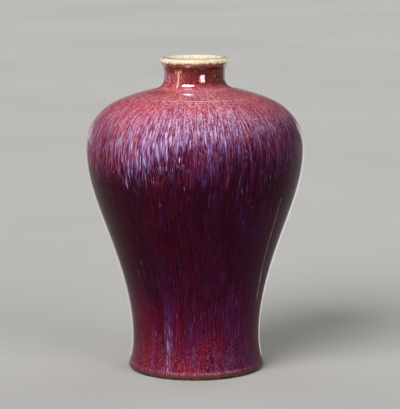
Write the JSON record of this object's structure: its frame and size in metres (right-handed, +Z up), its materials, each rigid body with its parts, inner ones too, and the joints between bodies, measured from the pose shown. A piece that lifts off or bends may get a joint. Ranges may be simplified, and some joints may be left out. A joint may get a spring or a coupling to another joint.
{
  "type": "meiping vase",
  "caption": "High-shouldered vase with a short narrow neck, rolled pale lip and slender waist, in streaked red and blue glaze over luted clay sections.",
  "frame": {"origin": "centre of the foot ring, on the surface that the vase stands on", "axes": "+Z up along the axis of the vase, from the foot to the mouth; -Y towards the viewer of the picture"},
  "size_m": [0.2374, 0.2374, 0.34],
  "materials": {
    "body_clay": "fired white stoneware, covered by glaze inside and out",
    "foot_clay": "bare foot ring under a thin iron-brown wash, matt and a little gritty",
    "luting_slip": "fired slip of the body clay",
    "flambe_glaze": "glossy copper-red glaze with lavender-blue runs, pale on the shoulder and plum to crimson below",
    "lip_glaze": "glossy thin ivory glaze, speckled brown at its lower edge and along the mouth",
    "interior_glaze": "glossy pale celadon grey",
    "base_glaze": "thin glossy olive brown, mottled"
  },
  "bodies": {
    "root": {"base_section": "foot_clay", "lower_section": "body_clay", "shoulder_section": "body_clay", "neck_section": "body_clay", "base_luting": "luting_slip", "belly_luting": "luting_slip", "neck_luting": "luting_slip", "flambe_glaze": "flambe_glaze", "lip_glaze": "lip_glaze", "interior_glaze": "interior_glaze", "base_glaze": "base_glaze"}
  },
  "joints": []
}
